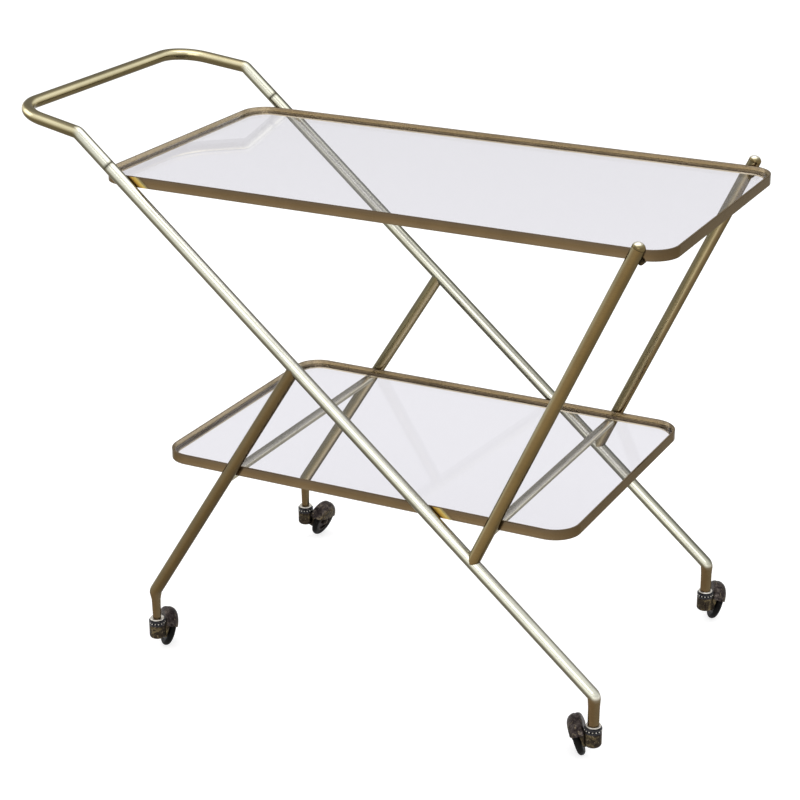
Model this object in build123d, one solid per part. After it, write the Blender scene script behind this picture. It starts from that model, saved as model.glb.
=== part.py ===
# Brass two-tier bar cart on four hooded castors
# Units are millimetres, +Z is up, the handle is at -X, the floor is at z = 0
import math
import os

from build123d import *

os.makedirs("parts", exist_ok=True)

# Placement of the cart's own layout frame in the part's frame
# The layout frame has the upper tray centred on x = 0 and the side frames at y = +-FRAME_HALF
SHIFT_X = 66.1
SHIFT_Y = -17.55

# Round tube
TUBE_R = 8.0
TUBE_WALL = 1.0
TUBE_BORE_R = TUBE_R - TUBE_WALL
BRAZE_GAP = 0.05
FRAME_HALF = 200.0

# Long diagonal tube, from the handle seam down to the front foot
SEAM_X = -351.3
SEAM_Z = 659.1
LONG_ANGLE = 40.95
FRONT_FOOT_X = 306.0

# Leg at the handle end
BACK_FOOT_X = -313.8
BACK_BEND_Z = 89.2
LEG_ANGLE = 57.96
LEG_END_SETBACK = 1.0

# Post that carries the upper tray
POST_TOP_X = 342.3
POST_TOP_Z = 657.7
POST_ANGLE = 65.15
POST_END_SETBACK = 1.0

# Swaged feet, stouter under the long tubes than under the legs
FOOT_BEND_R = 9.0
FOOT_NECK_DROP = 10.0
FOOT_OVERLAP = 0.02
LONG_NECK_R = 7.3
LONG_TIP_R = 7.1
LEG_NECK_R = 6.0
LEG_TIP_R = 5.4

# Domed plug in the top of each post
CAP_DOME_H = 6.2
CAP_CORNER_R = 4.5
CAP_RIM_H = 0.8
CAP_RIM_GROOVE = 0.4
CAP_PLUG_L = 14.0
CAP_LEAD_IN = 0.8
PLUG_FIT = 0.03

# Handle
HANDLE_BEND_X = -394.4
HANDLE_BACK_X = -496.6
HANDLE_BACK_Z = 712.0
HANDLE_TOE_IN = 11.0
HANDLE_LOW_BEND_R = 10.0
HANDLE_CORNER_R = 50.0
SEAM_CHAMFER = 0.4
SPIGOT_HALF_L = 28.0

# Crossbars under the lower tray
BAR_R = 6.0
BAR_WALL = 1.0
BAR_SEAT_GAP = 0.02

# Tray rims and glass
RIM_H = 13.0
RIM_T = 2.4
RIM_CORNER_R = 34.0
RIM_SIDE_GAP = 0.25
RIM_HALF_Y = FRAME_HALF - TUBE_R - RIM_SIDE_GAP
RIM_LIP = 0.4
LEDGE_W = 5.0
LEDGE_T = 1.8
GLASS_T = 6.0
GLASS_EDGE_GAP = 0.5
GLASS_ARRIS = 0.5
UPPER_RIM_BOTTOM = 634.4
UPPER_X0 = -374.8
UPPER_X1 = 372.4
LOWER_RIM_BOTTOM = 275.5
LOWER_X0 = -299.3
LOWER_X1 = 265.0

# Studs brazed to the posts, on which the upper rim rests
STUD_R = 3.9
STUD_X = 340.4
STUD_DROP = 0.3
STUD_UNDER = 7.5
STUD_BESIDE = 4.0
STUD_ROUND = 1.2

# Castor, in its own frame: swivel axis at x = y = 0, wheel to +X, trail to +Y
BARREL_R = 10.75
BARREL_Z0 = 21.5
BARREL_Z1 = 40.5
BARREL_ROUND = 4.0
BARREL_LIP = 0.5
RACE_R = 10.9
RACE_Z1 = 47.6
RACE_GROOVE_Z0 = 42.9
RACE_GROOVE_Z1 = 45.1
RACE_GROOVE = 1.5
RACE_EDGE = 0.4
RACE_SHOULDER = 1.0
RACE_BORE_GAP = 0.4
WASHER_R = 9.4
WASHER_LIFT = 0.3
WASHER_T = 2.0
WASHER_EDGE = 0.7
TIP_LIFT = 0.2
STEM_R = 3.2
STEM_Z0 = 25.0
STEM_Z1 = 72.0
STEM_FIT = 0.05
STEM_END_GAP = 0.3
STEM_TIGHT = 0.02
STEM_LEAD_IN = 1.2
SLEEVE_L = 18.0
SLEEVE_FIT = 0.05
SLEEVE_EDGE = 0.3

# Wheel
WHEEL_TILT = 19.0
WHEEL_R = 23.4
TYRE_HALF_W = 4.2
TYRE_SHOULDER_R = 20.4
TYRE_BORE_R = 15.5
TYRE_BEVEL = 0.8
CONTACT_SIDE = 11.5
CONTACT_TRAIL = 18.8
CORE_FIT = 0.04
CORE_INSET = 0.7
CORE_RIM_T = 2.3
WEB_HALF_T = 1.2
HUB_R = 5.4
HUB_END_GAP = 0.3
HUB_OUT = 5.2
HUB_EDGE = 0.5
AXLE_R = 2.5
AXLE_FIT = 0.05
AXLE_IN = -11.0
AXLE_HEAD_R = 3.9
AXLE_HEAD_H = 1.3
AXLE_HEAD_CORNER_R = 0.8
AXLE_END_GAP = 0.3
PIN_TIGHT = 0.02

# Hood over the upper part of the wheel, measured along the axle from the wheel's middle plane
HOOD_R = 28.4
HOOD_STEP = 0.6
HOOD_IN = -13.0
HOOD_IN_ROUND = 5.0
HOOD_RIDGE = -4.0
HOOD_RIDGE_W = 1.2
HOOD_CORNER_R = 11.0
HOOD_OUT = 8.0
ROOM_SIDE_GAP = 0.8
ROOM_TREAD_GAP = 0.8
HOOD_CUT = 7.6
HOOD_CUT_SLOPE = 12.0
HOOD_SWIVEL_GAP = 0.5
CHEEK_LEAD = 19.0
CHEEK_TOP = 14.0
BOSS_R = 6.0

# Where each castor stands: x of its foot, side, swivel angle in degrees, hand of the casting, foot radius
CASTORS = {
    "near_left": (BACK_FOOT_X, -1, 43.0, 1, LEG_TIP_R),
    "near_right": (FRONT_FOOT_X, -1, 206.0, -1, LONG_TIP_R),
    "far_left": (BACK_FOOT_X, 1, -5.0, 1, LEG_TIP_R),
    "far_right": (FRONT_FOOT_X, 1, 27.0, 1, LONG_TIP_R),
}
SIDES = {"near": -1, "far": 1}

# Heights and widths that follow from the castor's other sizes
WASHER_Z0 = RACE_Z1 + WASHER_LIFT
WASHER_Z1 = WASHER_Z0 + WASHER_T
FOOT_TIP_Z = WASHER_Z1 + TIP_LIFT
ROOM_HALF_W = TYRE_HALF_W + ROOM_SIDE_GAP
HUB_IN = HUB_END_GAP - ROOM_HALF_W

# Directions and meeting points of the side frame's tubes
LONG_DIR = Vector(math.cos(math.radians(LONG_ANGLE)), 0, -math.sin(math.radians(LONG_ANGLE)))
LEG_DIR = Vector(math.cos(math.radians(LEG_ANGLE)), 0, math.sin(math.radians(LEG_ANGLE)))
POST_DIR = Vector(math.cos(math.radians(POST_ANGLE)), 0, math.sin(math.radians(POST_ANGLE)))


def long_z(x):
    return SEAM_Z - (x - SEAM_X) * math.tan(math.radians(LONG_ANGLE))


def meet_long(x0, z0, angle):
    """Where a line through (x0, z0) at the angle meets the long tube's axis."""
    slope = math.tan(math.radians(angle))
    fall = math.tan(math.radians(LONG_ANGLE))
    x = (SEAM_Z + SEAM_X * fall - z0 + slope * x0) / (slope + fall)
    return Vector(x, 0, long_z(x))


FRONT_BEND = Vector(FRONT_FOOT_X, 0, long_z(FRONT_FOOT_X))
BACK_BEND = Vector(BACK_FOOT_X, 0, BACK_BEND_Z)
SEAM = Vector(SEAM_X, 0, SEAM_Z)
POST_TOP = Vector(POST_TOP_X, 0, POST_TOP_Z)
LEG_MEET = meet_long(BACK_FOOT_X, BACK_BEND_Z, LEG_ANGLE)
POST_MEET = meet_long(POST_TOP_X, POST_TOP_Z, POST_ANGLE)


# Shapes used by several pieces

def bent_path(points, radii):
    """Wire through the points with an arc of its own radius at each inner point."""
    edges = []
    start = points[0]
    for i, radius in enumerate(radii):
        corner = points[i + 1]
        before = (corner - points[i]).normalized()
        after = (points[i + 2] - corner).normalized()
        turn = math.acos(before.dot(after))
        reach = radius * math.tan(turn / 2)
        enter = corner - before * reach
        leave = corner + after * reach
        inward = (after - before).normalized()
        middle = corner + inward * (radius / math.cos(turn / 2) - radius)
        edges.append(Line(start, enter))
        edges.append(ThreePointArc(enter, middle, leave))
        start = leave
    edges.append(Line(start, points[-1]))
    return Wire([e.edge() if hasattr(e, "edge") else e for e in edges])


def swept_tube(path, radius, bore):
    section = Plane(origin=path @ 0, z_dir=path % 0)
    return sweep(section * Circle(radius), path=path) - sweep(section * Circle(bore), path=path)


def rod_between(a, b, radius):
    along = b - a
    return extrude(Plane(origin=a, z_dir=along) * Circle(radius), along.length)


def in_section(*points):
    """Polyline through (radius, height) points of a turned piece's section."""
    return Polyline(*[(r, 0, h) for r, h in points])


def turned(*curves):
    """Solid of revolution about Z from the closed outline that the curves make."""
    return revolve(make_face(list(curves)), axis=Axis.Z)


def turned_points(points):
    return turned(in_section(*points, points[0]))


def dome(base_r, base_h, corner_r, top_h):
    """Two tangent arcs of a section: a rounded corner and a shallow cap up to the axis."""
    reach = base_r - corner_r
    start = math.pi / 2 - 2 * math.atan((top_h - base_h - corner_r) / reach)
    cap_r = corner_r + reach / math.cos(start)
    cap_h = base_h - reach * math.tan(start)

    def on_corner(a):
        return (reach + corner_r * math.cos(a), 0, base_h + corner_r * math.sin(a))

    def on_cap(a):
        return (cap_r * math.cos(a), 0, cap_h + cap_r * math.sin(a))

    corner = ThreePointArc(on_corner(0), on_corner(start / 2), on_corner(start))
    cap = ThreePointArc(on_corner(start), on_cap((start + math.pi / 2) / 2), (0, 0, top_h))
    return corner, cap


def largest(shape):
    return sorted(shape.solids(), key=lambda s: s.volume)[-1]


def long_rod(y, radius):
    over = LONG_DIR * (2 * TUBE_R)
    across = Vector(0, y, 0)
    return rod_between(SEAM - over + across, FRONT_BEND + across, radius)


def leg_rod(y, radius):
    across = Vector(0, y, 0)
    return rod_between(BACK_BEND + across, LEG_MEET + across, radius)


def post_rod(y, radius):
    across = Vector(0, y, 0)
    return rod_between(POST_MEET + across, POST_TOP + across, radius)


# Side frames

def foot_end_z(bend, angle):
    """Height at which the foot's bend ends and the swaged stub begins."""
    turn = math.radians(90 - angle)
    return bend.Z - FOOT_BEND_R * math.tan(turn / 2)


def foot_stub(x, y, top_z, neck_r, tip_r):
    neck_z = top_z - FOOT_NECK_DROP
    outer = [(0, FOOT_TIP_Z), (tip_r, FOOT_TIP_Z), (neck_r, neck_z), (TUBE_R, top_z), (0, top_z)]
    inner = [(max(r - TUBE_WALL, 0), z) for r, z in outer]
    return Pos(x, y, 0) * (turned_points(outer) - turned_points(inner))


def seam_bevel(y, direction):
    """Ring that bevels the outside of a tube's end at the visible seam."""
    over = TUBE_R + 1
    cone = turned_points(
        [(TUBE_R - SEAM_CHAMFER, 0), (over, 0), (over, SEAM_CHAMFER), (TUBE_R, SEAM_CHAMFER)]
    )
    return Plane(origin=SEAM + Vector(0, y, 0), z_dir=direction).location * cone


def footed_tube(y, head, bend, angle, neck_r, tip_r):
    """Tube from its head down to a foot bend, with the swaged stub below it."""
    across = Vector(0, y, 0)
    end_z = foot_end_z(bend, angle)
    end = Vector(bend.X, y, end_z - FOOT_OVERLAP)
    path = bent_path([head + across, bend + across, end], [FOOT_BEND_R])
    return swept_tube(path, TUBE_R, TUBE_BORE_R) + foot_stub(bend.X, y, end_z, neck_r, tip_r)


def long_tube(y):
    tube = footed_tube(y, SEAM, FRONT_BEND, LONG_ANGLE, LONG_NECK_R, LONG_TIP_R)
    return tube - seam_bevel(y, LONG_DIR)


def leg(y):
    head = LEG_MEET - LEG_DIR * LEG_END_SETBACK
    tube = footed_tube(y, head, BACK_BEND, LEG_ANGLE, LEG_NECK_R, LEG_TIP_R)
    return tube - long_rod(y, TUBE_R + BRAZE_GAP)


POST_TUBE_TOP = POST_TOP - POST_DIR * (CAP_DOME_H + CAP_RIM_H)


def post(y):
    across = Vector(0, y, 0)
    base = POST_MEET + POST_DIR * POST_END_SETBACK + across
    top = POST_TUBE_TOP + across
    tube = rod_between(base, top, TUBE_R)
    tube -= rod_between(base - POST_DIR, top + POST_DIR, TUBE_BORE_R)
    return tube - long_rod(y, TUBE_R + BRAZE_GAP)


def post_cap(y):
    plug_r = TUBE_BORE_R - PLUG_FIT
    low = -CAP_PLUG_L
    side = in_section(
        (0, CAP_RIM_H + CAP_DOME_H),
        (0, low),
        (plug_r - CAP_LEAD_IN, low),
        (plug_r, low + CAP_LEAD_IN),
        (plug_r, 0),
        (TUBE_R - CAP_RIM_GROOVE, 0),
        (TUBE_R, CAP_RIM_GROOVE),
        (TUBE_R, CAP_RIM_H),
    )
    corner, cap = dome(TUBE_R, CAP_RIM_H, CAP_CORNER_R, CAP_RIM_H + CAP_DOME_H)
    place = Plane(origin=POST_TUBE_TOP + Vector(0, y, 0), z_dir=POST_DIR).location
    return place * turned(side, corner, cap)


# Handle: one tube with a low bend in each arm and a round corner at each end of the grip

def handle():
    bend = Vector(HANDLE_BEND_X, 0, long_z(HANDLE_BEND_X))
    back = Vector(HANDLE_BACK_X, 0, HANDLE_BACK_Z)
    out = Vector(0, FRAME_HALF, 0)
    toe = Vector(0, FRAME_HALF - HANDLE_TOE_IN, 0)
    points = [SEAM - out, bend - out, back - toe, back + toe, bend + out, SEAM + out]
    radii = [HANDLE_LOW_BEND_R, HANDLE_CORNER_R, HANDLE_CORNER_R, HANDLE_LOW_BEND_R]
    tube = swept_tube(bent_path(points, radii), TUBE_R, TUBE_BORE_R)
    for y in (-FRAME_HALF, FRAME_HALF):
        tube -= seam_bevel(y, LONG_DIR * -1)
    return tube


def spigot(y):
    """Plug that joins the handle to a long tube inside the seam."""
    middle = SEAM + Vector(0, y, 0)
    half = LONG_DIR * SPIGOT_HALF_L
    return rod_between(middle - half, middle + half, TUBE_BORE_R - PLUG_FIT)


# Crossbars, coped onto the legs and onto the posts

BAR_Z = LOWER_RIM_BOTTOM - BAR_SEAT_GAP - BAR_R
LEFT_BAR_X = BACK_FOOT_X + (BAR_Z - BACK_BEND_Z) / math.tan(math.radians(LEG_ANGLE))
RIGHT_BAR_X = POST_TOP_X - (POST_TOP_Z - BAR_Z) / math.tan(math.radians(POST_ANGLE))


def crossbar(x, partner):
    end = Vector(0, FRAME_HALF - TUBE_R / 2, 0)
    middle = Vector(x, 0, BAR_Z)
    bar = rod_between(middle - end, middle + end, BAR_R)
    bar -= rod_between(middle - end * 1.1, middle + end * 1.1, BAR_R - BAR_WALL)
    for y in (-FRAME_HALF, FRAME_HALF):
        bar -= partner(y, TUBE_R + BRAZE_GAP)
    return bar


# Trays

TRAYS = {
    "upper": (UPPER_X0, UPPER_X1, UPPER_RIM_BOTTOM),
    "lower": (LOWER_X0, LOWER_X1, LOWER_RIM_BOTTOM),
}


def rounded_plate(x0, x1, inset, z0, z1):
    """Plate with the rim's rounded outline, drawn in by the inset."""
    outline = RectangleRounded(x1 - x0 - 2 * inset, 2 * (RIM_HALF_Y - inset), RIM_CORNER_R - inset)
    return extrude(Pos((x0 + x1) / 2, 0, z0) * outline, z1 - z0)


def tray_rim(x0, x1, z0):
    """Strip rim bent round four corners, with the ledge that carries the glass."""
    z1 = z0 + RIM_H
    rim = rounded_plate(x0, x1, 0, z0, z1)
    rim = chamfer(rim.edges().group_by(Axis.Z)[-1], RIM_LIP)
    rim -= rounded_plate(x0, x1, RIM_T + LEDGE_W, z0 - 1, z1 + 1)
    return rim - rounded_plate(x0, x1, RIM_T, z0 + LEDGE_T, z1 + 1)


def tray_glass(x0, x1, z0):
    low = z0 + LEDGE_T
    glass = rounded_plate(x0, x1, RIM_T + GLASS_EDGE_GAP, low, low + GLASS_T)
    glass = chamfer(glass.edges().group_by(Axis.Z)[-1], GLASS_ARRIS)
    return chamfer(glass.edges().group_by(Axis.Z)[0], GLASS_ARRIS)


def tray_stud(sign):
    """Round stud fixed to the post's side, with a flat seat for the rim over its inner end."""
    y_in = RIM_HALF_Y - STUD_UNDER
    length = STUD_UNDER + RIM_SIDE_GAP + STUD_BESIDE
    section = [
        (0, 0),
        (STUD_R - STUD_ROUND, 0),
        (STUD_R, STUD_ROUND),
        (STUD_R, length - STUD_ROUND),
        (STUD_R - STUD_ROUND, length),
        (0, length),
    ]
    place = Plane(origin=(STUD_X, sign * y_in, UPPER_RIM_BOTTOM - STUD_DROP), z_dir=(0, sign, 0))
    stud = place.location * turned_points(section)
    seat_w = STUD_UNDER + 2 * STUD_R
    seat = Pos(STUD_X, sign * (RIM_HALF_Y + BRAZE_GAP - seat_w / 2), UPPER_RIM_BOTTOM + STUD_R)
    stud -= seat * Box(4 * STUD_R, seat_w, 2 * STUD_R)
    return stud - post_rod(sign * FRAME_HALF, TUBE_R + BRAZE_GAP)


# Castors

TILT = math.radians(WHEEL_TILT)
SAG = WHEEL_R - TYRE_SHOULDER_R
TREAD_R = (TYRE_HALF_W**2 + SAG**2) / (2 * SAG)
CENTRE_Z = (WHEEL_R - TREAD_R) * math.cos(TILT) + TREAD_R
CENTRE_SIDE = CONTACT_SIDE + (WHEEL_R - TREAD_R) * math.sin(TILT)

# The wheel's own frame: x along the trail, y up in the wheel's plane, z outward along the axle
WHEEL_PLANE = Plane(
    origin=(CENTRE_SIDE, CONTACT_TRAIL, CENTRE_Z),
    x_dir=(0, 1, 0),
    z_dir=(math.cos(TILT), 0, -math.sin(TILT)),
)


def tyre():
    half = TYRE_HALF_W
    tread = ThreePointArc((TYRE_SHOULDER_R, 0, -half), (WHEEL_R, 0, 0), (TYRE_SHOULDER_R, 0, half))
    back = in_section(
        (TYRE_SHOULDER_R, half),
        (TYRE_BORE_R + TYRE_BEVEL, half),
        (TYRE_BORE_R, half - TYRE_BEVEL),
        (TYRE_BORE_R, TYRE_BEVEL - half),
        (TYRE_BORE_R + TYRE_BEVEL, -half),
        (TYRE_SHOULDER_R, -half),
    )
    return turned(tread, back)


def wheel_centre():
    """Dished core with a hub longer than its rim."""
    bore = AXLE_R + AXLE_FIT
    rim_r = TYRE_BORE_R - CORE_FIT
    rim_z = TYRE_HALF_W - CORE_INSET
    dish_r = rim_r - CORE_RIM_T
    return turned_points(
        [
            (bore, HUB_IN),
            (HUB_R - HUB_EDGE, HUB_IN),
            (HUB_R, HUB_IN + HUB_EDGE),
            (HUB_R, -WEB_HALF_T),
            (dish_r, -WEB_HALF_T),
            (dish_r, -rim_z),
            (rim_r, -rim_z),
            (rim_r, rim_z),
            (dish_r, rim_z),
            (dish_r, WEB_HALF_T),
            (HUB_R, WEB_HALF_T),
            (HUB_R, HUB_OUT - HUB_EDGE),
            (HUB_R - HUB_EDGE, HUB_OUT),
            (bore, HUB_OUT),
        ]
    )


def axle():
    """Stub axle fixed in the casting's cheek, with a riveted head outside the hub."""
    seat = HUB_OUT + AXLE_END_GAP
    top = seat + AXLE_HEAD_H
    shank = in_section((0, top), (0, AXLE_IN), (AXLE_R, AXLE_IN), (AXLE_R, seat), (AXLE_HEAD_R, seat))
    corner, cap = dome(AXLE_HEAD_R, seat, AXLE_HEAD_CORNER_R, top)
    return turned(shank, corner, cap)


def hood():
    """Flattened ball round the wheel, with a raised ridge, open below a sloping cut."""
    band_r = HOOD_R - HOOD_STEP
    inset = HOOD_IN_ROUND * (1 - math.sqrt(0.5))
    side = in_section(
        (0, HOOD_OUT),
        (0, HOOD_IN),
        (band_r - HOOD_IN_ROUND, HOOD_IN),
    )
    shoulder = ThreePointArc(
        (band_r - HOOD_IN_ROUND, 0, HOOD_IN),
        (band_r - inset, 0, HOOD_IN + inset),
        (band_r, 0, HOOD_IN + HOOD_IN_ROUND),
    )
    ridge_z = HOOD_RIDGE - HOOD_RIDGE_W
    ridge = in_section(
        (band_r, HOOD_IN + HOOD_IN_ROUND),
        (band_r, ridge_z),
        (HOOD_R, ridge_z + HOOD_STEP),
        (HOOD_R, HOOD_RIDGE),
    )
    corner, cap = dome(HOOD_R, HOOD_RIDGE, HOOD_CORNER_R, HOOD_OUT)
    ball = turned(side, shoulder, ridge, corner, cap)
    size = 4 * HOOD_R
    above = Rot(0, 0, -HOOD_CUT_SLOPE) * Pos(0, HOOD_CUT + size / 2, 0) * Box(size, size, size)
    return ball & above


def wheel_room():
    """Space for the wheel inside the hood, a clearance larger than the tyre all round."""
    shoulder = TYRE_SHOULDER_R + ROOM_TREAD_GAP
    crown = WHEEL_R + ROOM_TREAD_GAP
    half = ROOM_HALF_W
    tread = ThreePointArc((shoulder, 0, -half), (crown, 0, 0), (shoulder, 0, half))
    return turned(tread, in_section((shoulder, half), (0, half), (0, -half), (shoulder, -half)))


def cheek():
    """Wall between the barrel and the wheel that holds the axle."""
    bow = BOSS_R * math.sqrt(0.5)
    edges = [
        Line((-CHEEK_LEAD, -BOSS_R), (0, -BOSS_R)),
        ThreePointArc((0, -BOSS_R), (bow, -bow), (BOSS_R, 0)),
        Polyline((BOSS_R, 0), (BOSS_R, CHEEK_TOP), (-CHEEK_LEAD, CHEEK_TOP), (-CHEEK_LEAD, -BOSS_R)),
    ]
    return extrude(Pos(0, 0, HOOD_IN) * make_face(edges), -ROOM_HALF_W - HOOD_IN)


def upright(radius, z0, z1):
    return Pos(0, 0, z0) * Cylinder(radius, z1 - z0, align=(Align.CENTER, Align.CENTER, Align.MIN))


def castor_body():
    """One casting: barrel on the stem, cheek with the axle's bore, and the hood."""
    barrel = upright(BARREL_R, BARREL_Z0, BARREL_Z1)
    barrel = fillet(barrel.edges().group_by(Axis.Z)[0], BARREL_ROUND)
    barrel = chamfer(barrel.edges().group_by(Axis.Z)[-1], BARREL_LIP)
    cover = WHEEL_PLANE.location * (hood() + cheek() - wheel_room())
    cover -= upright(RACE_R + HOOD_SWIVEL_GAP, BARREL_Z1, FOOT_TIP_Z + 2 * HOOD_R)
    pin_r = AXLE_R + PIN_TIGHT
    pin = WHEEL_PLANE.location * turned_points(
        [(0, AXLE_IN), (pin_r, AXLE_IN), (pin_r, HOOD_OUT / 2), (0, HOOD_OUT / 2)]
    )
    return barrel + cover - pin - upright(STEM_R + STEM_FIT, STEM_Z0 - STEM_END_GAP, STEM_Z1)


def race_ring():
    """Black ball race with an open groove round its middle."""
    bore = STEM_R + RACE_BORE_GAP
    return turned_points(
        [
            (bore, BARREL_Z1),
            (RACE_R - RACE_EDGE, BARREL_Z1),
            (RACE_R, BARREL_Z1 + RACE_EDGE),
            (RACE_R, RACE_GROOVE_Z0),
            (RACE_R - RACE_GROOVE, RACE_GROOVE_Z0),
            (RACE_R - RACE_GROOVE, RACE_GROOVE_Z1),
            (RACE_R, RACE_GROOVE_Z1),
            (RACE_R, RACE_Z1 - RACE_SHOULDER),
            (RACE_R - RACE_SHOULDER, RACE_Z1),
            (bore, RACE_Z1),
        ]
    )


def ring(outer, inner, z0, z1, edge):
    return turned_points(
        [
            (inner, z0),
            (outer - edge, z0),
            (outer, z0 + edge),
            (outer, z1 - edge),
            (outer - edge, z1),
            (inner, z1),
        ]
    )


def stem():
    return turned_points(
        [
            (0, STEM_Z0),
            (STEM_R - STEM_LEAD_IN, STEM_Z0),
            (STEM_R, STEM_Z0 + STEM_LEAD_IN),
            (STEM_R, STEM_Z1 - STEM_LEAD_IN),
            (STEM_R - STEM_LEAD_IN, STEM_Z1),
            (0, STEM_Z1),
        ]
    )


def castor(x, sign, angle, hand, tip_r):
    """Pieces of one castor by name, with the swivelling ones turned about the stem."""
    sleeve_r = tip_r - TUBE_WALL - SLEEVE_FIT
    tight_r = STEM_R + STEM_TIGHT
    fixed = {
        "stem": stem(),
        "grip_sleeve": ring(sleeve_r, tight_r, FOOT_TIP_Z, FOOT_TIP_Z + SLEEVE_L, SLEEVE_EDGE),
        "cover_washer": ring(WASHER_R, tight_r, WASHER_Z0, WASHER_Z1, WASHER_EDGE),
        "race_ring": race_ring(),
    }
    swivelling = {
        "castor_body": CASTING,
        "axle": WHEEL_PLANE.location * axle(),
        "wheel_centre": WHEEL_PLANE.location * wheel_centre(),
        "tyre": WHEEL_PLANE.location * tyre(),
    }
    here = Pos(x, sign * FRAME_HALF, 0)
    placed = {name: here * shape for name, shape in fixed.items()}
    for name, shape in swivelling.items():
        if hand < 0:
            shape = mirror(shape, about=Plane.XZ)
        placed[name] = here * Rot(0, 0, angle) * shape
    return placed


# Every node and its solids

CASTING = castor_body()
nodes = {}
for side, sign in SIDES.items():
    y = sign * FRAME_HALF
    nodes[side + "_long_tube"] = [long_tube(y)]
    nodes[side + "_leg"] = [leg(y)]
    nodes[side + "_post"] = [post(y)]
    nodes[side + "_post_cap"] = [post_cap(y)]
nodes["handle"] = [handle()]
nodes["handle_spigots"] = [spigot(sign * FRAME_HALF) for sign in SIDES.values()]
nodes["left_crossbar"] = [crossbar(LEFT_BAR_X, leg_rod)]
nodes["right_crossbar"] = [crossbar(RIGHT_BAR_X, post_rod)]
for tray, (x0, x1, z0) in TRAYS.items():
    nodes[tray + "_tray_rim"] = [tray_rim(x0, x1, z0)]
    nodes[tray + "_glass"] = [tray_glass(x0, x1, z0)]
nodes["tray_studs"] = [tray_stud(sign) for sign in SIDES.values()]
for place, settings in CASTORS.items():
    for name, shape in castor(*settings).items():
        nodes[place + "_" + name] = [shape]

# Write every node in the part's frame
shift = Pos(SHIFT_X, SHIFT_Y, 0)
boxes = []
for name, shapes in nodes.items():
    solids = [shift * largest(shape) for shape in shapes]
    whole = solids[0] if len(solids) == 1 else Compound(children=solids)
    export_step(whole, "parts/" + name + ".step")
    boxes.append(whole.bounding_box())
print("nodes", len(nodes))
for axis in ("X", "Y", "Z"):
    low = min(getattr(box.min, axis) for box in boxes)
    high = max(getattr(box.max, axis) for box in boxes)
    print(axis, round(low, 2), round(high, 2))
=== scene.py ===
import math

import bmesh
import bpy
from mathutils import Matrix, Vector


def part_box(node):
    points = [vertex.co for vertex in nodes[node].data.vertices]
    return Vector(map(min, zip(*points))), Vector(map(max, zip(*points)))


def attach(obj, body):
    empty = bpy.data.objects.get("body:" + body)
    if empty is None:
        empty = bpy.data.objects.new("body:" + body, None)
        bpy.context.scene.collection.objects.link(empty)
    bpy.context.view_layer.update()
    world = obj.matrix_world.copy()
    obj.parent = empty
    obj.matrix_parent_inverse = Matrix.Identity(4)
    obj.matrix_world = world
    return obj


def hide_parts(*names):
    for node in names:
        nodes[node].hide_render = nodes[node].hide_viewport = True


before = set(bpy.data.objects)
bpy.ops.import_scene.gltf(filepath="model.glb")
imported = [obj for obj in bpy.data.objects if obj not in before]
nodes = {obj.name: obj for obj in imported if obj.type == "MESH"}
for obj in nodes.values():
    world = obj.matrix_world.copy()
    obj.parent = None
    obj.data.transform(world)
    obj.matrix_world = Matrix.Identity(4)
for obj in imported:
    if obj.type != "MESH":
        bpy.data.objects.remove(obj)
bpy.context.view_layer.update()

# Slopes and places on the cart that the finishes go by, in metres
LONG_TILT = math.radians(40.95)
LEG_TILT = math.radians(57.96)
POST_TILT = math.radians(65.15)
LONG_DIR = Vector((math.cos(LONG_TILT), 0, -math.sin(LONG_TILT)))
LONG_ABOVE = Vector((math.sin(LONG_TILT), 0, math.cos(LONG_TILT)))
UP = Vector((0, 0, 1))
TUBE_R = 0.008
SEAM_AT = Vector((-0.2852, 0, 0.6591))
SEAM_HALF = 0.0007
HANDLE_BEND_X = -0.3283
FOOT_Z = 0.0885
FOOT_BLEND = 0.003

# Faces that meet at more than this angle keep a sharp edge between them
SHARP_ANGLE = math.radians(32)


def colour(r, g, b):
    """Shader colour from one written as it looks on screen, 0 to 255."""
    def linear(c):
        c /= 255
        return c / 12.92 if c <= 0.04045 else ((c + 0.055) / 1.055) ** 2.4

    return (linear(r), linear(g), linear(b), 1.0)


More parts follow.
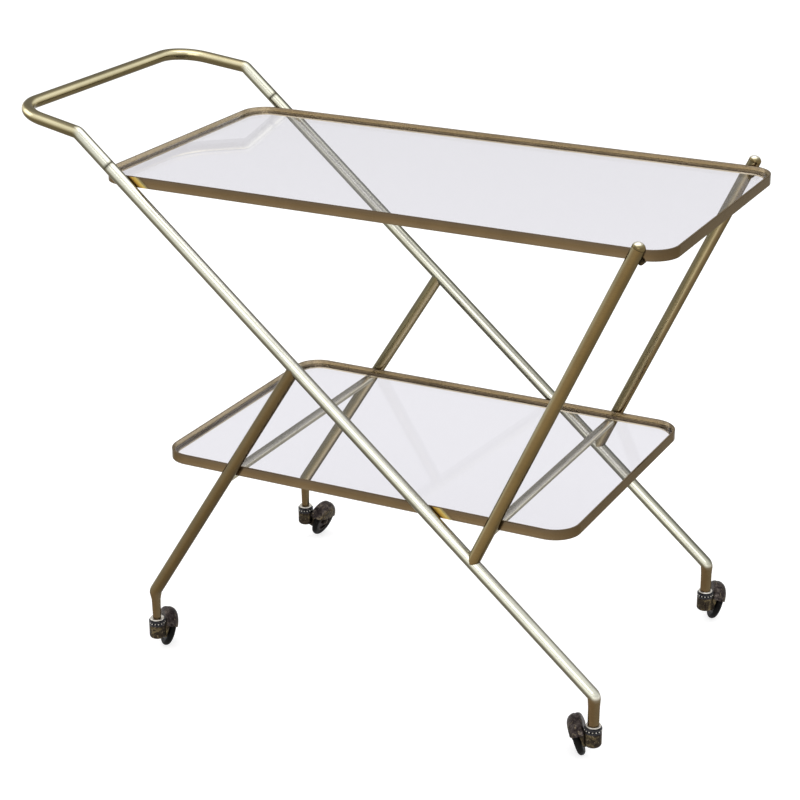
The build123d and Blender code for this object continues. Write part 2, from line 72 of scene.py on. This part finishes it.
class Material:
    """A node material with short helpers, so that each finish below reads as a recipe."""

    def __init__(self, name):
        self.material = bpy.data.materials.new(name)
        self.material.use_nodes = True
        self.tree = self.material.node_tree
        self.shader = self.tree.nodes["Principled BSDF"]
        self.coordinates = self.new("ShaderNodeTexCoord")
        self.position = self.coordinates.outputs["Object"]
        self.normal = self.coordinates.outputs["Normal"]

    def new(self, kind, **settings):
        node = self.tree.nodes.new(kind)
        for key, value in settings.items():
            setattr(node, key, value)
        return node

    def link(self, output, node, name):
        self.tree.links.new(output, node.inputs[name])

    def set(self, **values):
        for name, value in values.items():
            self.shader.inputs[name.replace("_", " ")].default_value = value

    def feed(self, name, output):
        self.link(output, self.shader, name)

    def mapping(self, turn=(0, 0, 0), scale=(1, 1, 1)):
        node = self.new("ShaderNodeMapping")
        node.inputs["Rotation"].default_value = turn
        node.inputs["Scale"].default_value = scale
        self.link(self.position, node, "Vector")
        return node.outputs["Vector"]

    def noise(self, scale, detail=3.0, rough=0.5, vector=None, distort=0.0):
        node = self.new("ShaderNodeTexNoise")
        node.inputs["Scale"].default_value = scale
        node.inputs["Detail"].default_value = detail
        node.inputs["Roughness"].default_value = rough
        node.inputs["Distortion"].default_value = distort
        self.link(vector or self.position, node, "Vector")
        return node.outputs["Fac"]

    def spots(self, scale):
        node = self.new("ShaderNodeTexVoronoi")
        node.inputs["Scale"].default_value = scale
        self.link(self.position, node, "Vector")
        return node.outputs["Distance"]

    def ramp(self, value, *stops):
        """Colour or grey ramp from (place, colour) stops."""
        node = self.new("ShaderNodeValToRGB")
        ramp = node.color_ramp
        while len(ramp.elements) < len(stops):
            ramp.elements.new(0.5)
        for element, (place, shade) in zip(ramp.elements, stops):
            element.position = place
            element.color = shade if isinstance(shade, tuple) else (shade, shade, shade, 1)
        self.link(value, node, "Fac")
        return node.outputs["Color"]

    def mix(self, factor, a, b, blend="MIX"):
        node = self.new("ShaderNodeMix", data_type="RGBA", blend_type=blend)
        for slot, value in ((0, factor), (6, a), (7, b)):
            if isinstance(value, (int, float, tuple)):
                node.inputs[slot].default_value = value
            else:
                self.tree.links.new(value, node.inputs[slot])
        return node.outputs[2]

    def maths(self, operation, *values):
        node = self.new("ShaderNodeMath", operation=operation)
        for slot, value in enumerate(values):
            if isinstance(value, (int, float)):
                node.inputs[slot].default_value = value
            else:
                self.tree.links.new(value, node.inputs[slot])
        return node.outputs[0]

    def dot(self, a, b):
        node = self.new("ShaderNodeVectorMath", operation="DOT_PRODUCT")
        self.link(a, node, 0)
        if isinstance(b, Vector):
            node.inputs[1].default_value = b
        else:
            self.link(b, node, 1)
        return node.outputs["Value"]

    def facing(self, direction):
        """How the surface faces a direction of the part's frame: 0 away from it, 1 towards it."""
        return self.maths("MULTIPLY_ADD", self.dot(self.normal, direction.normalized()), 0.5, 0.5)

    def part(self, axis, vector=None):
        """One axis of a vector, which is the place on the surface when none is given."""
        node = self.new("ShaderNodeSeparateXYZ")
        self.link(vector or self.position, node, "Vector")
        return node.outputs[axis]

    def beyond(self, direction, through):
        """Distance past the plane square to a direction, less than 0 on its near side."""
        return self.maths("SUBTRACT", self.dot(self.position, direction), direction.dot(through))

    def seam(self, base):
        """Dark hairline where the handle is butted onto the long tubes."""
        away = self.maths("ABSOLUTE", self.beyond(LONG_DIR, SEAM_AT))
        line = self.ramp(away, (SEAM_HALF * 0.7, 1.0), (SEAM_HALF * 1.3, 0.0))
        return self.mix(line, base, colour(88, 84, 68))

    def bump(self, height, strength, distance):
        node = self.new("ShaderNodeBump")
        node.inputs["Strength"].default_value = strength
        node.inputs["Distance"].default_value = distance
        self.link(height, node, "Height")
        self.feed("Normal", node.outputs["Normal"])

    def polished(self, base, turn=(0, 0, 0), rough=(0.14, 0.26)):
        """Old lacquered brass: drawn lines, cloudy patches, dark specks and an uneven gloss."""
        along = self.mapping(turn=turn, scale=(4, 240, 240))
        lines = self.noise(6.0, 4.0, 0.6, along)
        cloud = self.noise(16.0, 5.0, 0.6)
        base = self.mix(1.0, base, self.ramp(lines, (0.3, 0.88), (0.6, 1.0)), "MULTIPLY")
        base = self.mix(1.0, base, self.ramp(cloud, (0.32, 0.86), (0.58, 1.0)), "MULTIPLY")
        specks = self.ramp(self.spots(300.0), (0.05, 1.0), (0.16, 0.0))
        rare = self.ramp(self.noise(42.0, 2.0), (0.57, 0.0), (0.64, 0.6))
        base = self.mix(self.maths("MULTIPLY", specks, rare), base, colour(70, 56, 36))
        self.feed("Base Color", base)
        self.set(Metallic=1.0, Specular_Tint=(0.58, 0.56, 0.52, 1))
        gloss = self.noise(45.0, 5.0, 0.6)
        self.feed("Roughness", self.ramp(gloss, (0.3, rough[0]), (0.75, rough[1])))
        self.bump(self.maths("ADD", lines, cloud), 0.1, 0.0003)
        return self.material

    def round_tube(self, across, profile):
        """Painted highlight and shade round a tube from (place, tone) stops, where 1 faces across
        and -1 faces away.
        """
        stops = [(0.5 + place / 2, colour(*tone)) for place, tone in profile]
        return self.ramp(self.facing(across), *stops)


# Directions square to each kind of tube, from its upper or left side to its lower or right one
LONG_ACROSS = Vector((-0.544, -0.556, -0.628))
LEG_ACROSS = Vector((0.8045, 0.315, -0.503))
POST_ACROSS = Vector((0.875, 0.266, -0.405))
BAR_ACROSS = Vector((0.657, 0, -0.753))

# Painted highlights and shade round each tube, from one side at -1 to the other at 1 along the
# direction above; the same brass is painted pale on the long tubes and crossbars and dark brown on
# the legs, posts and feet
NEAR_LONG = [
    (-1.0, (110, 108, 96)), (-0.86, (150, 148, 134)), (-0.66, (226, 225, 211)),
    (-0.1, (250, 249, 232)), (0.16, (250, 249, 231)), (0.34, (222, 221, 203)),
    (0.5, (170, 168, 149)), (0.64, (116, 113, 96)), (0.8, (98, 94, 79)), (1.0, (108, 104, 88)),
]
FAR_LONG = [
    (-1.0, (108, 107, 94)), (-0.76, (112, 112, 99)), (-0.58, (160, 160, 145)),
    (-0.4, (204, 203, 186)), (-0.1, (232, 231, 212)), (0.14, (248, 247, 229)),
    (0.36, (238, 236, 216)), (0.54, (176, 174, 154)), (0.68, (112, 110, 93)), (1.0, (100, 98, 82)),
]
FOOT = [
    (-1.0, (86, 74, 54)), (-0.3, (102, 82, 56)), (0.2, (94, 76, 50)), (0.7, (100, 86, 62)),
    (1.0, (112, 102, 84)),
]
NEAR_LEG = [
    (-1.0, (120, 110, 90)), (-0.75, (106, 94, 70)), (-0.3, (103, 86, 58)), (0.0, (91, 74, 46)),
    (0.4, (85, 70, 46)), (0.8, (78, 67, 50)), (1.0, (86, 78, 62)),
]
FAR_LEG = [
    (-1.0, (116, 110, 92)), (-0.7, (108, 102, 80)), (-0.35, (114, 104, 73)),
    (-0.12, (144, 130, 94)), (0.08, (170, 154, 116)), (0.28, (192, 177, 142)),
    (0.46, (166, 151, 119)), (0.64, (92, 82, 60)), (1.0, (88, 80, 62)),
]
NEAR_POST = [
    (-1.0, (150, 142, 116)), (-0.8, (150, 140, 112)), (-0.62, (132, 116, 82)),
    (-0.45, (118, 99, 66)), (0.0, (112, 92, 57)), (0.4, (97, 80, 50)), (0.7, (90, 77, 52)),
    (0.9, (80, 69, 48)), (1.0, (88, 80, 62)),
]
FAR_POST = [
    (-1.0, (120, 112, 92)), (-0.75, (112, 104, 80)), (-0.5, (112, 102, 73)),
    (-0.3, (126, 113, 80)), (-0.12, (160, 145, 108)), (0.04, (166, 150, 114)),
    (0.2, (126, 110, 78)), (0.4, (106, 89, 61)), (0.65, (96, 81, 56)), (0.85, (80, 70, 47)),
    (1.0, (84, 76, 58)),
]
BAR = [
    (-1.0, (196, 193, 176)), (-0.75, (190, 187, 168)), (-0.45, (200, 197, 177)),
    (-0.15, (244, 240, 219)), (0.15, (255, 252, 235)), (0.35, (236, 231, 210)),
    (0.6, (158, 153, 132)), (0.8, (156, 151, 131)), (1.0, (190, 186, 168)),
]

# Painted shade below and a painted highlight towards the top, round the grip of the handle, from
# its underside at -1 to its top at 1
GRIP = [
    (-0.5, (92, 82, 60)), (-0.12, (92, 82, 56)), (0.02, (108, 97, 68)), (0.13, (146, 134, 100)),
    (0.26, (202, 190, 150)), (0.4, (248, 236, 194)), (0.62, (255, 246, 204)),
    (0.72, (206, 194, 154)), (0.83, (140, 131, 104)), (1.0, (126, 119, 96)),
]


# How far the painted reflection of the long tube reaches past the tube's axis, and the width in
# which it fades out
TUBE_REFLECTION_LOW = TUBE_R - 0.002
TUBE_REFLECTION_HIGH = TUBE_R + 0.0062
TUBE_REFLECTION_FADE = 0.001


def tube(name, across, profile, tilt, seamed=False):
    """Tube with painted highlight and shade round its section, and painted olive shade in the foot
    below its bend.
    """
    m = Material(name)
    foot = m.ramp(m.part("Z"), (FOOT_Z - FOOT_BLEND, 1.0), (FOOT_Z + FOOT_BLEND, 0.0))
    base = m.mix(foot, m.round_tube(across, profile), m.round_tube(BAR_ACROSS, FOOT))
    if seamed:
        base = m.seam(base)
    return m.polished(base, (0, tilt, 0))


def handle_tube():
    """Painted golden highlight above and painted shade below on the grip, and the long tubes'
    painted highlight and shade past its low bends.
    """
    m = Material("handle_brass")
    # A ramp reads 0 to 1 only, so places that may lie below 0 are shifted
    shift = 0.5
    bend = HANDLE_BEND_X + shift
    arm = m.ramp(m.maths("ADD", m.part("X"), shift), (bend - 0.002, 0.0), (bend + 0.005, 1.0))
    far = m.ramp(m.maths("ADD", m.part("Y"), shift), (shift - 0.01, 0.0), (shift, 1.0))
    pale = m.mix(far, m.round_tube(LONG_ACROSS, NEAR_LONG), m.round_tube(LONG_ACROSS, FAR_LONG))
    return m.polished(m.seam(m.mix(arm, m.round_tube(UP, GRIP), pale)))


def strip_brass():
    """Flat strip with painted brown shade outside and painted pale light inside, and a painted
    reflection of each long tube beside it.
    """
    m = Material("rim_brass")
    box = m.coordinates.outputs["Generated"]
    level = m.part("Z", box)
    from_middle = m.new("ShaderNodeVectorMath", operation="MULTIPLY_ADD")
    m.link(box, from_middle, 0)
    from_middle.inputs[1].default_value = (1, 1, 0)
    from_middle.inputs[2].default_value = (-0.5, -0.5, 0)
    outward = m.maths("MULTIPLY_ADD", m.dot(m.normal, from_middle.outputs["Vector"]), 2.0, 0.5)
    outer = m.ramp(outward, (0.45, 0.0), (0.55, 1.0))
    sideways = m.maths("ABSOLUTE", m.part("X", m.normal))

    # Outer faces: brown painted shade, a little darker towards the top, and darker still on the
    # end faces that look sideways
    outside = m.ramp(
        level, (0.0, colour(112, 97, 74)), (0.25, colour(115, 96, 70)), (0.5, colour(108, 89, 62)),
        (0.8, colour(102, 86, 64)), (1.0, colour(96, 82, 66)),
    )
    outside = m.mix(m.maths("MULTIPLY", sideways, 0.85), outside, colour(80, 65, 44))
    # Inner faces: painted light, palest low down by the glass and darker towards the top
    inside = m.ramp(
        level, (0.0, colour(242, 230, 204)), (0.3, colour(242, 222, 184)),
        (0.46, colour(216, 190, 142)), (0.6, colour(190, 166, 120)), (0.8, colour(176, 154, 116)),
        (1.0, colour(166, 148, 122)),
    )
    # Painted highlight on the upward faces of the low ledge, and paler painted light on the inner
    # faces at the strip's ends
    ledge = m.maths("MULTIPLY", m.ramp(level, (0.2, 1.0), (0.25, 0.0)), m.part("Z", m.normal))
    inside = m.mix(ledge, inside, colour(240, 234, 222))
    inside = m.mix(m.maths("MULTIPLY", sideways, 0.7), inside, colour(222, 205, 172))

    # A painted reflection of the long tube lies on the flat outer faces in a stripe just above it
    away = m.beyond(LONG_ABOVE, SEAM_AT)
    tube_reflection = m.ramp(
        away, (TUBE_REFLECTION_LOW, colour(150, 106, 40)), (TUBE_R, colour(250, 200, 90)),
        (TUBE_R + 0.004, colour(255, 226, 130)), (TUBE_R + 0.006, colour(255, 242, 190)),
    )
    stripe = m.ramp(
        away, (TUBE_REFLECTION_LOW - TUBE_REFLECTION_FADE, 0.0), (TUBE_REFLECTION_LOW, 1.0), (TUBE_REFLECTION_HIGH, 1.0),
        (TUBE_REFLECTION_HIGH + TUBE_REFLECTION_FADE, 0.0),
    )
    front = m.ramp(m.maths("ABSOLUTE", m.part("Y", m.normal)), (0.88, 0.0), (0.96, 1.0))
    front = m.maths("MULTIPLY", front, m.ramp(outward, (0.5, 0.0), (0.6, 1.0)))
    patch = m.maths("MULTIPLY", stripe, front)
    m.polished(m.mix(patch, m.mix(outer, inside, outside), tube_reflection), rough=(0.16, 0.3))

    # The painted reflection and the inner faces of the rim's ends are less like a mirror
    dull = m.maths("MULTIPLY", sideways, m.maths("SUBTRACT", 1.0, outer))
    metal = m.maths("MULTIPLY_ADD", dull, -0.5, 1.0)
    m.feed("Metallic", m.maths("MULTIPLY_ADD", patch, -0.85, metal))
    return m.material


def cap_brass():
    """Domed plug, with a painted near-white highlight on its top and painted shade down its sides.
    """
    m = Material("cap_brass")
    base = m.ramp(
        m.facing(UP), (0.45, colour(92, 78, 50)), (0.72, colour(128, 112, 76)),
        (0.84, colour(160, 150, 116)), (0.9, colour(236, 230, 208)), (1.0, colour(252, 250, 240)),
    )
    return m.polished(base)


def stud_brass():
    """Dark, dull stud under the upper rim."""
    m = Material("stud_brass")
    tone = m.noise(160.0, 4.0, 0.6)
    base = m.ramp(tone, (0.35, colour(40, 34, 24)), (0.65, colour(74, 62, 42)))
    return m.polished(base, rough=(0.3, 0.5))


def glass():
    """Clear plate with a faint grey-violet tint and smears that show in its gloss alone.

    The low index of refraction keeps its reflections as faint as those in the photo.
    """
    m = Material("clear_glass")
    m.set(Base_Color=colour(214, 213, 218), IOR=1.13, Transmission_Weight=1.0)
    m.feed("Roughness", m.ramp(m.noise(30.0, 6.0, 0.7), (0.5, 0.0), (0.9, 0.02)))
    m.bump(m.noise(3.0, 1.0), 0.02, 0.0005)
    return m.material


def worn_bronze():
    """Bronzed casting: purple-brown patina, greyer where it faces up and darker brown where it
    faces sideways or down, with small spots of paler metal.
    """
    m = Material("worn_bronze")
    large = m.noise(120.0, 5.0, 0.65, distort=0.6)
    fine = m.noise(520.0, 4.0, 0.6)
    patina = m.ramp(
        large, (0.34, colour(36, 30, 30)), (0.5, colour(66, 59, 57)), (0.66, colour(108, 99, 94)),
    )
    side_tone = m.ramp(
        large, (0.36, colour(28, 22, 17)), (0.5, colour(54, 47, 36)), (0.64, colour(102, 90, 64)),
    )
    base = m.mix(m.ramp(m.facing(UP), (0.5, 1.0), (0.72, 0.0)), patina, side_tone)
    base = m.mix(m.ramp(fine, (0.48, 0.0), (0.66, 0.8)), base, colour(36, 28, 28))
    shine = m.ramp(m.noise(300.0, 3.0, 0.6), (0.6, 0.0), (0.72, 0.7))
    base = m.mix(shine, base, colour(150, 136, 110))
    m.feed("Base Color", base)
    m.set(Metallic=0.9, Specular_Tint=(0.6, 0.6, 0.6, 1))
    m.feed("Roughness", m.ramp(fine, (0.3, 0.3), (0.7, 0.55)))
    m.bump(m.maths("ADD", fine, m.maths("MULTIPLY", large, 2.0)), 0.5, 0.0005)
    return m.material


def black_enamel():
    """Black ring with small worn chips."""
    m = Material("black_enamel")
    chips = m.noise(300.0, 4.0, 0.6)
    m.feed("Base Color", m.ramp(chips, (0.55, colour(20, 19, 24)), (0.68, colour(62, 55, 56))))
    m.set(Specular_IOR_Level=0.3)
    m.feed("Roughness", m.ramp(chips, (0.3, 0.2), (0.7, 0.42)))
    m.bump(chips, 0.25, 0.0003)
    return m.material


def rubber():
    """Hard black rubber, greyed on the tread by floor dust."""
    m = Material("worn_rubber")
    dust = m.noise(140.0, 6.0, 0.65)
    m.feed("Base Color", m.ramp(dust, (0.4, colour(4, 4, 4)), (0.78, colour(26, 23, 21))))
    m.set(Specular_IOR_Level=0.08)
    m.feed("Roughness", m.ramp(dust, (0.3, 0.4), (0.7, 0.7)))
    m.bump(m.noise(650.0, 4.0, 0.6), 0.35, 0.0003)
    return m.material


def moulding():
    """Dark brown moulded wheel centre."""
    m = Material("dark_moulding")
    tone = m.noise(120.0, 4.0, 0.6)
    m.feed("Base Color", m.ramp(tone, (0.35, colour(20, 14, 12)), (0.7, colour(50, 34, 26))))
    m.set(Specular_IOR_Level=0.2)
    m.feed("Roughness", m.ramp(tone, (0.3, 0.42), (0.7, 0.62)))
    m.bump(tone, 0.3, 0.0003)
    return m.material


def steel(name, low, high, rough):
    """Turned or plated steel between a low and a high tone."""
    m = Material(name)
    tone = m.noise(180.0, 4.0, 0.6)
    m.feed("Base Color", m.ramp(tone, (0.35, low), (0.68, high)))
    m.set(Metallic=1.0)
    m.feed("Roughness", m.ramp(m.noise(500.0, 3.0), (0.3, rough), (0.7, rough + 0.16)))
    m.bump(tone, 0.2, 0.0002)
    return m.material


FINISH = {
    "near_long_brass": tube("near_long_brass", LONG_ACROSS, NEAR_LONG, LONG_TILT, seamed=True),
    "far_long_brass": tube("far_long_brass", LONG_ACROSS, FAR_LONG, LONG_TILT, seamed=True),
    "handle_brass": handle_tube(),
    "near_leg_brass": tube("near_leg_brass", LEG_ACROSS, NEAR_LEG, -LEG_TILT),
    "far_leg_brass": tube("far_leg_brass", LEG_ACROSS, FAR_LEG, -LEG_TILT),
    "near_post_brass": tube("near_post_brass", POST_ACROSS, NEAR_POST, -POST_TILT),
    "far_post_brass": tube("far_post_brass", POST_ACROSS, FAR_POST, -POST_TILT),
    "bar_brass": tube("bar_brass", BAR_ACROSS, BAR, math.pi / 2),
    "rim_brass": strip_brass(),
    "cap_brass": cap_brass(),
    "stud_brass": stud_brass(),
    "glass": glass(),
    "bronze": worn_bronze(),
    "black": black_enamel(),
    "rubber": rubber(),
    "moulding": moulding(),
    "steel": steel("plain_steel", colour(120, 118, 116), colour(158, 156, 152), 0.25),
    "pale_steel": steel("worn_plating", colour(170, 164, 152), colour(232, 228, 220), 0.22),
}

# Which finish each CAD node wears, by the end of its name
WEARS = [
    ("near_long_tube", "near_long_brass"),
    ("far_long_tube", "far_long_brass"),
    ("near_leg", "near_leg_brass"),
    ("far_leg", "far_leg_brass"),
    ("near_post", "near_post_brass"),
    ("far_post", "far_post_brass"),
    ("_post_cap", "cap_brass"),
    ("handle", "handle_brass"),
    ("handle_spigots", "steel"),
    ("_crossbar", "bar_brass"),
    ("_tray_rim", "rim_brass"),
    ("_glass", "glass"),
    ("tray_studs", "stud_brass"),
    ("_stem", "steel"),
    ("_grip_sleeve", "steel"),
    ("_cover_washer", "pale_steel"),
    ("_race_ring", "black"),
    ("_castor_body", "bronze"),
    ("_axle", "bronze"),
    ("_wheel_centre", "moulding"),
    ("_tyre", "rubber"),
]
for name, obj in nodes.items():
    finish = next(f for end, f in WEARS if name.endswith(end))
    obj.data.materials.clear()
    obj.data.materials.append(FINISH[finish])
    obj.data.shade_smooth()
    obj.data.set_sharp_from_angle(angle=SHARP_ANGLE)


# Glass plates that clear their ledges by a hair, because a face shared with the ledge traps light
PLATE_LIFT = 0.00012
for tray in ("upper", "lower"):
    node = nodes[tray + "_glass"]
    low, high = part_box(tray + "_glass")
    mesh = node.data.copy()
    mesh.name = tray + "_plate"
    for vertex in mesh.vertices:
        if vertex.co.z < (low[2] + high[2]) / 2:
            vertex.co.z += PLATE_LIFT
    plate = bpy.data.objects.new(mesh.name, mesh)
    bpy.context.scene.collection.objects.link(plate)
    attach(plate, "frame")
    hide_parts(tray + "_glass")


# Bright balls in the open groove of each castor's race
BALLS = 15
BALL_R = 0.00095
BALL_CIRCLE_R = 0.0103
BALL_Z = 0.044
for place in ("near_left", "near_right", "far_left", "far_right"):
    low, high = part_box(place + "_race_ring")
    middle = (Vector(low) + Vector(high)) / 2
    mesh = bpy.data.meshes.new(place + "_race_balls")
    bm = bmesh.new()
    for i in range(BALLS):
        turn = 2 * math.pi * i / BALLS
        spot = Matrix.Translation((
            middle.x + BALL_CIRCLE_R * math.cos(turn),
            middle.y + BALL_CIRCLE_R * math.sin(turn),
            BALL_Z,
        ))
        bmesh.ops.create_icosphere(bm, subdivisions=2, radius=BALL_R, matrix=spot)
    bm.to_mesh(mesh)
    bm.free()
    mesh.shade_smooth()
    mesh.materials.append(FINISH["pale_steel"])
    balls = bpy.data.objects.new(mesh.name, mesh)
    bpy.context.scene.collection.objects.link(balls)
    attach(balls, place + "_castor")


# Floor: its grey keeps the object's shadow, and its glow lifts it to white
FLOOR_HALF = 14.0
FLOOR_GREY = 0.5
FLOOR_GLOW = 0.7


def light_path_floor():
    """Floor that shows the same white to the eye, in metal and through glass."""
    m = Material("studio_floor")
    m.set(Base_Color=(FLOOR_GREY, FLOOR_GREY, FLOOR_GREY, 1), Roughness=0.9)
    path = m.new("ShaderNodeLightPath")
    seen = m.maths("MAXIMUM", path.outputs["Is Camera Ray"], path.outputs["Is Glossy Ray"])
    seen = m.maths("MAXIMUM", seen, path.outputs["Is Transmission Ray"])
    m.set(Emission_Color=(1, 1, 1, 1))
    m.feed("Emission Strength", m.maths("MULTIPLY", seen, FLOOR_GLOW))
    return m.material


floor_mesh = bpy.data.meshes.new("floor")
corners = [(FLOOR_HALF * x, FLOOR_HALF * y, 0) for x, y in ((-1, -1), (1, -1), (1, 1), (-1, 1))]
floor_mesh.from_pydata(corners, [], [(0, 1, 2, 3)])
floor = bpy.data.objects.new("floor", floor_mesh)
bpy.context.scene.collection.objects.link(floor)
floor_mesh.materials.append(light_path_floor())

# Sky from straight down at 0 to straight up at 1, as grey levels
SKY = [(0.0, 0.98), (0.52, 0.98), (0.62, 0.78), (0.8, 0.82), (0.95, 1.0)]
world = bpy.data.worlds.new("studio")
bpy.context.scene.world = world
world.use_nodes = True
tree = world.node_tree
background = tree.nodes["Background"]
direction = tree.nodes.new("ShaderNodeTexCoord")
split = tree.nodes.new("ShaderNodeSeparateXYZ")
height = tree.nodes.new("ShaderNodeMapRange")
sky = tree.nodes.new("ShaderNodeValToRGB")
tree.links.new(direction.outputs["Generated"], split.inputs["Vector"])
tree.links.new(split.outputs["Z"], height.inputs["Value"])
height.inputs["From Min"].default_value = -1.0
tree.links.new(height.outputs["Result"], sky.inputs["Fac"])
tree.links.new(sky.outputs["Color"], background.inputs["Color"])
while len(sky.color_ramp.elements) < len(SKY):
    sky.color_ramp.elements.new(0.5)
for element, (place, grey) in zip(sky.color_ramp.elements, SKY):
    element.position = place
    element.color = (grey, grey, grey, 1)


def softbox(name, place, aim, width, height, radiance):
    """Area light that looks equally bright from any distance: power follows from its size."""
    data = bpy.data.lights.new(name, "AREA")
    data.shape = "RECTANGLE"
    data.size = width
    data.size_y = height
    data.energy = radiance * math.pi * width * height
    lamp = bpy.data.objects.new(name, data)
    bpy.context.scene.collection.objects.link(lamp)
    lamp.location = place
    lamp.rotation_mode = "QUATERNION"
    lamp.rotation_quaternion = (Vector(aim) - Vector(place)).to_track_quat("-Z", "Y")


CART_MIDDLE = (0, 0, 0.4)
softbox("key", (1.3, -2.6, 1.9), CART_MIDDLE, width=2.2, height=1.6, radiance=1.2)
softbox("top", (0.2, 0.2, 2.7), CART_MIDDLE, width=2.4, height=2.4, radiance=1.0)
softbox("side", (-2.9, -0.4, 1.5), CART_MIDDLE, width=1.6, height=1.6, radiance=0.9)

# Camera solved from the photo's tube lines: place, azimuth, drop below the horizon, roll and lens
CAMERA_AT = (1.1838, -2.31279, 1.35495)
AZIMUTH = math.radians(27.057)
DROP = math.radians(21.626)
ROLL = math.radians(-0.2)
LENS = 96.15
SENSOR_WIDTH = 36
VIEW_DEPTH = 100
forward = Vector((
    -math.sin(AZIMUTH) * math.cos(DROP), math.cos(AZIMUTH) * math.cos(DROP), -math.sin(DROP),
))
level = Vector((math.cos(AZIMUTH), math.sin(AZIMUTH), 0))
above = level.cross(forward)
right = math.cos(ROLL) * level + math.sin(ROLL) * above
up = math.cos(ROLL) * above - math.sin(ROLL) * level
camera_data = bpy.data.cameras.new("camera")
camera_data.lens = LENS
camera_data.sensor_width = SENSOR_WIDTH
camera_data.clip_end = VIEW_DEPTH
camera = bpy.data.objects.new("camera", camera_data)
bpy.context.scene.collection.objects.link(camera)
turned = Matrix((right, up, -forward)).transposed().to_4x4()
camera.matrix_world = Matrix.Translation(CAMERA_AT) @ turned
bpy.context.scene.camera = camera

bpy.context.scene.view_settings.view_transform = "Standard"
